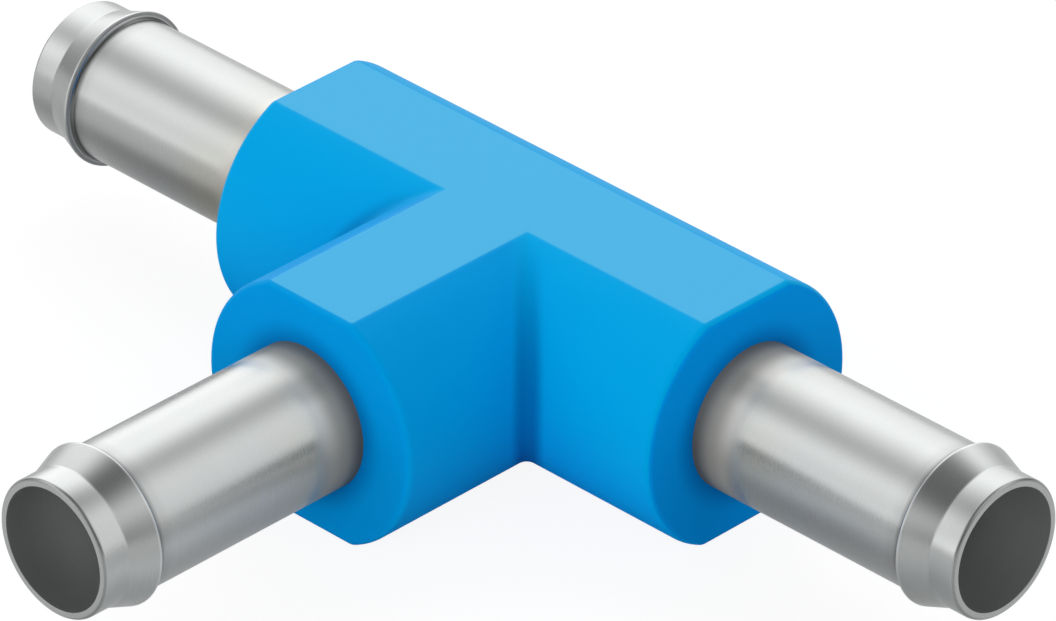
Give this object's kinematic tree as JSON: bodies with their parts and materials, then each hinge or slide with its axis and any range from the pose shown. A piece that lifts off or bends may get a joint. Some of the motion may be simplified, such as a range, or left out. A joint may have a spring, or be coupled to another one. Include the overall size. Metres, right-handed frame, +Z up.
{
  "type": "hose barb tee",
  "caption": "Hose barb tee: a moulded plastic body, flat above and below, holds a turned metal barb tube in each arm so that hoses join in a T-shaped flow path.",
  "frame": {"origin": "the point where the axes of the run and the branch cross", "axes": "+X along the run towards the right barb, -Y along the branch, +Z up and square to the two flats of the body"},
  "size_m": [0.0826, 0.0503, 0.0164],
  "materials": {
    "body_plastic": "opaque blue, smooth moulded satin",
    "tube_metal": "fine turned satin"
  },
  "bodies": {
    "root": {"tee_body": "body_plastic", "left_barb_tube": "tube_metal", "right_barb_tube": "tube_metal", "branch_barb_tube": "tube_metal"}
  },
  "joints": []
}
